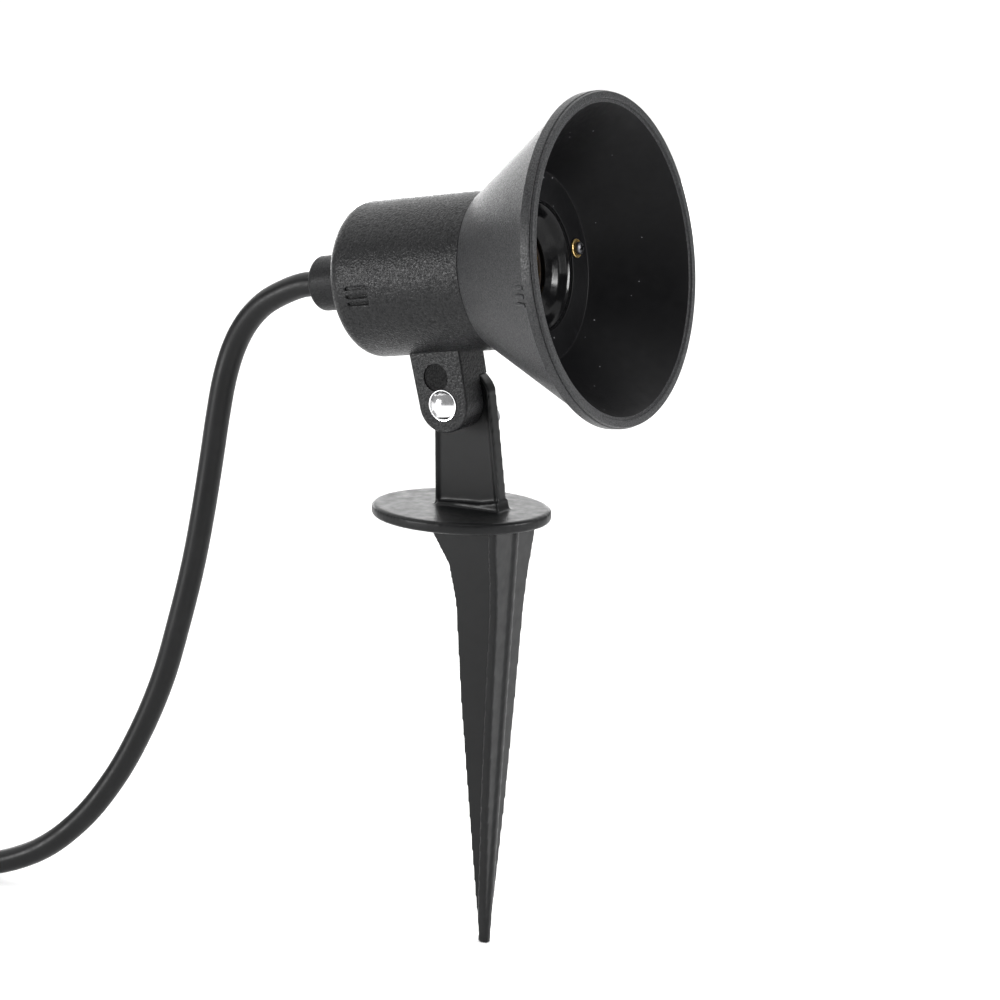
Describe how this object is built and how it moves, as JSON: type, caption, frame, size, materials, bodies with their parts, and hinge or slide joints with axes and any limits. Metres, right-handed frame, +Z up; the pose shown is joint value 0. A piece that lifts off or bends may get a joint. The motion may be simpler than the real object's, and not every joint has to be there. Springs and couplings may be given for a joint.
{
  "type": "spotlight holder on a ground stake",
  "caption": "Tilting flared spotlight holder with a screw-in lamp socket, on an oval-flanged push-in ground stake, with a round mains cord coiled beside it.",
  "frame": {"origin": "centre of the underside of the oval foot flange, which rests on the ground when the spike is pushed in", "axes": "+Z up along the stake, +X level in the direction the beam points, +Y to the wing nut's side"},
  "size_m": [0.5137, 0.1392, 0.3186],
  "materials": {
    "stake_plastic": "semi-gloss moulded black",
    "housing_plastic": "coarse spark texture, charcoal black",
    "shade_plastic": "fine texture, charcoal black",
    "seal_rubber": "matt black",
    "gasket_rubber": "glossy black",
    "dark_steel": "blackened",
    "brass": "bright stamped",
    "phenolic": "moulded brown-black",
    "shell_brass": "rolled",
    "black_pvc": "wire insulation",
    "white_pvc": "wire insulation",
    "green_pvc": "wire insulation",
    "green_steel": "green passivated",
    "nut_plastic": "fine texture",
    "washer_plastic": "grey nylon",
    "collar_plastic": "nylon",
    "zinc_steel": "zinc plated",
    "chrome_steel": "polished plated",
    "cord_jacket": "smooth satin black",
    "tie_plastic": "coated tie",
    "plug_vinyl": "moulded black vinyl",
    "blade_brass": "plated"
  },
  "bodies": {
    "stake": {"stake": "stake_plastic", "supply_cord": "cord_jacket", "cord_coil": "cord_jacket", "cord_end": "cord_jacket", "coil_tie": "tie_plastic", "plug_body": "plug_vinyl", "plug_blades": "blade_brass", "plug_earth_pin": "blade_brass"},
    "head": {"rear_housing": "housing_plastic", "front_shade": "shade_plastic", "housing_seal": "seal_rubber", "lamp_gasket": "gasket_rubber", "shade_screws": "dark_steel", "screw_eyelets": "brass", "socket_body": "phenolic", "screw_shell": "shell_brass", "centre_contact": "shell_brass", "terminal_screws": "brass", "live_lead": "black_pvc", "neutral_lead": "white_pvc", "earth_lead": "green_pvc", "earth_screw": "green_steel", "gland_nut": "nut_plastic", "gland_washer": "washer_plastic", "cord_seal": "seal_rubber", "cord_core": "cord_jacket", "cord_collar": "collar_plastic", "collar_screw": "zinc_steel", "pivot_bolt": "chrome_steel", "pivot_washer": "zinc_steel", "lock_washer": "zinc_steel"},
    "wing_nut": {"wing_nut": "zinc_steel"}
  },
  "joints": [
    {"name": "head_tilt", "type": "hinge", "parent": "stake", "child": "head", "pos_m": [0.0013, 0, 0.0435], "axis": [0, -1, 0], "range_deg": [-55, 60], "deforming": ["supply_cord"]},
    {"name": "wing_nut_turn", "type": "hinge", "parent": "head", "child": "wing_nut", "pos_m": [0.0013, 0.008, 0.0435], "axis": [0, 1, 0], "continuous": true}
  ]
}
